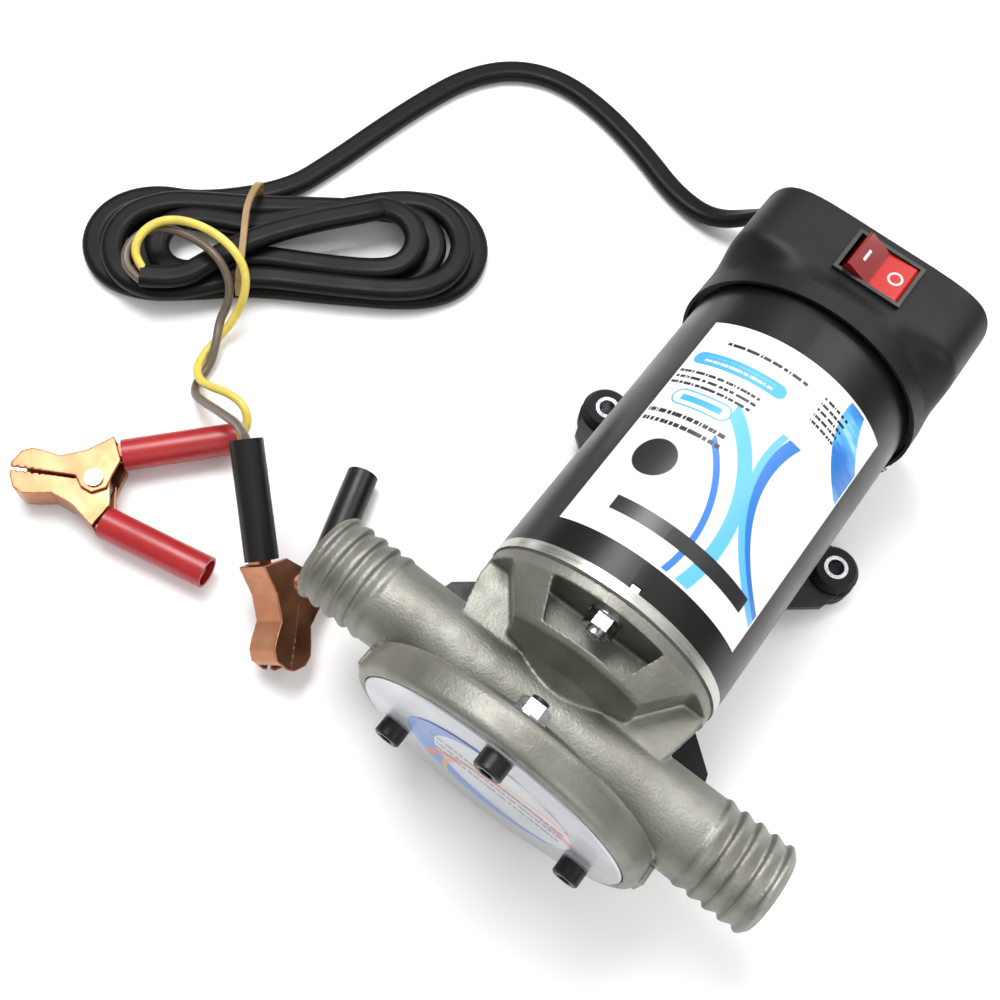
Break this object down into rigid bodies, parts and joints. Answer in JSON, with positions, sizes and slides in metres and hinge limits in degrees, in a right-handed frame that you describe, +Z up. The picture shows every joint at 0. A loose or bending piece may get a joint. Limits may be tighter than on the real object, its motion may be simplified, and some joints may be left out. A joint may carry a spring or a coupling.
{
  "type": "transfer pump",
  "caption": "Portable 12 V DC transfer pump: star impeller between two inline hose barbs, capped motor with rocker switch on a footed bracket, cable with battery clips.",
  "frame": {"origin": "centre of the rectangle of the four foot holes, on the plane the rubber feet stand on", "axes": "+Y along the motor shaft from the pump cover to the switch cap, +X along the two hose barbs, +Z up from the feet"},
  "size_m": [0.3166, 0.2597, 0.0945],
  "materials": {
    "black_paint": "satin black",
    "black_plastic": "fine texture",
    "black_rubber": "matt",
    "black_screw": "black oxide",
    "black_sleeve": "soft gloss",
    "bracket_black": "satin black",
    "brass": "satin",
    "brown_wire": "insulation",
    "cable_black": "satin jacket",
    "carbon": "matt",
    "cast_body": "sand-cast, satin",
    "clip_copper": "copper plate",
    "copper": "copper",
    "core_steel": "laminated",
    "cover_plate": "brushed, satin",
    "cover_print": "printed film",
    "ferrite": "sintered",
    "gasket_paper": "fibre sheet",
    "impeller_brass": "machined",
    "label_print": "printed film",
    "laminate": "fibre laminate",
    "red_rocker": "gloss",
    "red_sleeve": "soft gloss",
    "spring_steel": "drawn wire",
    "steel": "ground",
    "switch_black": "gloss",
    "tie_brown": "matt",
    "turned_aluminium": "turned",
    "yellow_wire": "insulation",
    "zinc": "bright zinc plate"
  },
  "bodies": {
    "pump": {"black_clip_rivet": "steel", "black_clip_spring": "spring_steel", "black_clip_wired_jaw": "clip_copper", "black_clip_wired_sleeve": "black_sleeve", "bolt_nuts": "zinc", "bolt_washers": "zinc", "bracket_nuts": "zinc", "bracket_screws": "zinc", "brush_holders": "brass", "brush_plate": "laminate", "brush_springs": "steel", "cable_grommet": "black_rubber", "cable_hank": "cable_black", "cap_screws": "zinc", "carbon_brushes": "carbon", "cover_label": "cover_print", "cover_nuts": "zinc", "cover_oring": "black_rubber", "cover_screws": "black_screw", "cover_washers": "zinc", "field_magnets": "ferrite", "flange_gasket": "gasket_paper", "foot_sleeves": "zinc", "front_bearing_outer": "steel", "front_bell": "turned_aluminium", "front_cover": "cover_plate", "hank_tie": "tie_brown", "inner_leads": "cable_black", "motor_casing": "black_paint", "motor_label": "label_print", "mounting_bracket": "bracket_black", "power_cable": "cable_black", "pump_body": "cast_body", "rear_bearing_outer": "steel", "rear_bell": "turned_aluminium", "rear_cap": "black_plastic", "red_clip_rivet": "steel", "red_clip_spring": "spring_steel", "red_clip_wired_jaw": "clip_copper", "red_clip_wired_sleeve": "red_sleeve", "rubber_feet": "black_rubber", "shaft_seal": "black_rubber", "switch_housing": "switch_black", "switch_terminals": "brass", "through_bolts": "zinc", "wire_brown": "brown_wire", "wire_yellow": "yellow_wire"},
    "rotor": {"motor_shaft": "steel", "impeller": "impeller_brass", "impeller_key": "steel", "front_bearing_inner": "steel", "rear_bearing_inner": "steel", "armature_core": "core_steel", "armature_windings": "copper", "commutator": "copper"},
    "rocker": {"switch_rocker": "red_rocker"},
    "red_jaw": {"red_clip_free_jaw": "clip_copper", "red_clip_free_sleeve": "red_sleeve"},
    "black_jaw": {"black_clip_free_jaw": "clip_copper", "black_clip_free_sleeve": "black_sleeve"}
  },
  "joints": [
    {"name": "motor_spin", "type": "hinge", "parent": "pump", "child": "rotor", "pos_m": [0, 0, 0.048], "axis": [0, 1, 0], "continuous": true},
    {"name": "rocker_switch", "type": "hinge", "parent": "pump", "child": "rocker", "pos_m": [0.0022, 0.0968, 0.0834], "axis": [0, -1, 0], "range_deg": [0, 22]},
    {"name": "red_clip_pivot", "type": "hinge", "parent": "pump", "child": "red_jaw", "pos_m": [-0.1594, -0.0791, 0.0075], "axis": [0, 0, 1], "range_deg": [0, 30], "stiffness_Nm_per_rad": 0.5, "springref_deg": -34.38},
    {"name": "black_clip_pivot", "type": "hinge", "parent": "pump", "child": "black_jaw", "pos_m": [-0.0877, -0.0672, 0.014], "axis": [0.6719, 0.2609, 0.6932], "range_deg": [0, 30], "stiffness_Nm_per_rad": 0.5, "springref_deg": -34.38}
  ]
}
